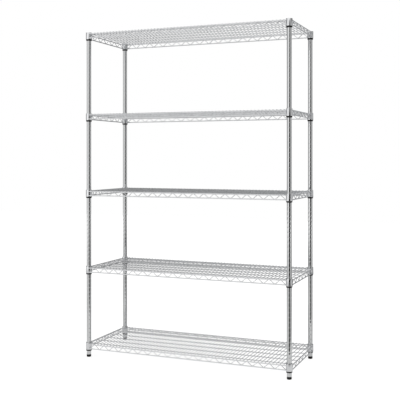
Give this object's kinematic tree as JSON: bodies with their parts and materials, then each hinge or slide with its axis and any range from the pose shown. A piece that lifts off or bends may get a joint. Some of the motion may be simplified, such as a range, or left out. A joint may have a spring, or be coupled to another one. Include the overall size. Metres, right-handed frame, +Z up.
{
  "type": "wire shelving rack",
  "caption": "Free-standing chromed wire rack: welded open-grid shelves wedged onto tapered split sleeves that clip at adjustable heights on round grooved posts with levelling feet.",
  "frame": {"origin": "on the floor, at the centre of the rectangle formed by the post axes", "axes": "+Z up along the posts, +X to the right when facing the rack's long side, +Y from the front to the rear"},
  "size_m": [1.2094, 0.4576, 1.8329],
  "materials": {
    "post_chrome": "bright chrome plate on round steel tube, rolled grooves all the way up",
    "wire_chrome": "chrome plate on welded round steel wire, slightly duller than the posts",
    "black_plastic": "black moulded plastic, fine satin grain",
    "foot_black": "black moulded foot, satin"
  },
  "bodies": {
    "posts": {"post_front_left": "post_chrome", "cap_front_left": "black_plastic", "post_front_right": "post_chrome", "cap_front_right": "black_plastic", "post_rear_left": "post_chrome", "cap_rear_left": "black_plastic", "post_rear_right": "post_chrome", "cap_rear_right": "black_plastic"},
    "foot_front_left": {"foot_front_left": "foot_black"},
    "foot_front_right": {"foot_front_right": "foot_black"},
    "foot_rear_left": {"foot_rear_left": "foot_black"},
    "foot_rear_right": {"foot_rear_right": "foot_black"},
    "sleeves_1": {"sleeve_1_front_left_outer": "black_plastic", "sleeve_1_front_left_inner": "black_plastic", "sleeve_1_front_right_outer": "black_plastic", "sleeve_1_front_right_inner": "black_plastic", "sleeve_1_rear_left_outer": "black_plastic", "sleeve_1_rear_left_inner": "black_plastic", "sleeve_1_rear_right_outer": "black_plastic", "sleeve_1_rear_right_inner": "black_plastic"},
    "shelf_1": {"shelf_1": "wire_chrome"},
    "sleeves_2": {"sleeve_2_front_left_outer": "black_plastic", "sleeve_2_front_left_inner": "black_plastic", "sleeve_2_front_right_outer": "black_plastic", "sleeve_2_front_right_inner": "black_plastic", "sleeve_2_rear_left_outer": "black_plastic", "sleeve_2_rear_left_inner": "black_plastic", "sleeve_2_rear_right_outer": "black_plastic", "sleeve_2_rear_right_inner": "black_plastic"},
    "shelf_2": {"shelf_2": "wire_chrome"},
    "sleeves_3": {"sleeve_3_front_left_outer": "black_plastic", "sleeve_3_front_left_inner": "black_plastic", "sleeve_3_front_right_outer": "black_plastic", "sleeve_3_front_right_inner": "black_plastic", "sleeve_3_rear_left_outer": "black_plastic", "sleeve_3_rear_left_inner": "black_plastic", "sleeve_3_rear_right_outer": "black_plastic", "sleeve_3_rear_right_inner": "black_plastic"},
    "shelf_3": {"shelf_3": "wire_chrome"},
    "sleeves_4": {"sleeve_4_front_left_outer": "black_plastic", "sleeve_4_front_left_inner": "black_plastic", "sleeve_4_front_right_outer": "black_plastic", "sleeve_4_front_right_inner": "black_plastic", "sleeve_4_rear_left_outer": "black_plastic", "sleeve_4_rear_left_inner": "black_plastic", "sleeve_4_rear_right_outer": "black_plastic", "sleeve_4_rear_right_inner": "black_plastic"},
    "shelf_4": {"shelf_4": "wire_chrome"},
    "sleeves_5": {"sleeve_5_front_left_outer": "black_plastic", "sleeve_5_front_left_inner": "black_plastic", "sleeve_5_front_right_outer": "black_plastic", "sleeve_5_front_right_inner": "black_plastic", "sleeve_5_rear_left_outer": "black_plastic", "sleeve_5_rear_left_inner": "black_plastic", "sleeve_5_rear_right_outer": "black_plastic", "sleeve_5_rear_right_inner": "black_plastic"},
    "shelf_5": {"shelf_5": "wire_chrome"}
  },
  "joints": [
    {"name": "foot_front_left_screw", "type": "slide", "parent": "posts", "child": "foot_front_left", "axis": [0, 0, -1], "range_m": [0, 0.02]},
    {"name": "foot_front_right_screw", "type": "slide", "parent": "posts", "child": "foot_front_right", "axis": [0, 0, -1], "range_m": [0, 0.02]},
    {"name": "foot_rear_left_screw", "type": "slide", "parent": "posts", "child": "foot_rear_left", "axis": [0, 0, -1], "range_m": [0, 0.02]},
    {"name": "foot_rear_right_screw", "type": "slide", "parent": "posts", "child": "foot_rear_right", "axis": [0, 0, -1], "range_m": [0, 0.02]},
    {"name": "sleeves_1_reseat", "type": "slide", "parent": "posts", "child": "sleeves_1", "axis": [0, 0, 1], "range_m": [0, 0.1524], "stiffness_N_per_m": 24000},
    {"name": "shelf_1_lift", "type": "slide", "parent": "sleeves_1", "child": "shelf_1", "axis": [0, 0, 1], "range_m": [0, 0.06]},
    {"name": "sleeves_2_reseat", "type": "slide", "parent": "posts", "child": "sleeves_2", "axis": [0, 0, 1], "range_m": [-0.1524, 0.1524], "stiffness_N_per_m": 24000},
    {"name": "shelf_2_lift", "type": "slide", "parent": "sleeves_2", "child": "shelf_2", "axis": [0, 0, 1], "range_m": [0, 0.06]},
    {"name": "sleeves_3_reseat", "type": "slide", "parent": "posts", "child": "sleeves_3", "axis": [0, 0, 1], "range_m": [-0.1524, 0.1524], "stiffness_N_per_m": 24000},
    {"name": "shelf_3_lift", "type": "slide", "parent": "sleeves_3", "child": "shelf_3", "axis": [0, 0, 1], "range_m": [0, 0.06]},
    {"name": "sleeves_4_reseat", "type": "slide", "parent": "posts", "child": "sleeves_4", "axis": [0, 0, 1], "range_m": [-0.1524, 0.1524], "stiffness_N_per_m": 24000},
    {"name": "shelf_4_lift", "type": "slide", "parent": "sleeves_4", "child": "shelf_4", "axis": [0, 0, 1], "range_m": [0, 0.06]},
    {"name": "sleeves_5_reseat", "type": "slide", "parent": "posts", "child": "sleeves_5", "axis": [0, 0, 1], "range_m": [-0.1524, 0], "stiffness_N_per_m": 24000},
    {"name": "shelf_5_lift", "type": "slide", "parent": "sleeves_5", "child": "shelf_5", "axis": [0, 0, 1], "range_m": [0, 0.06]}
  ]
}
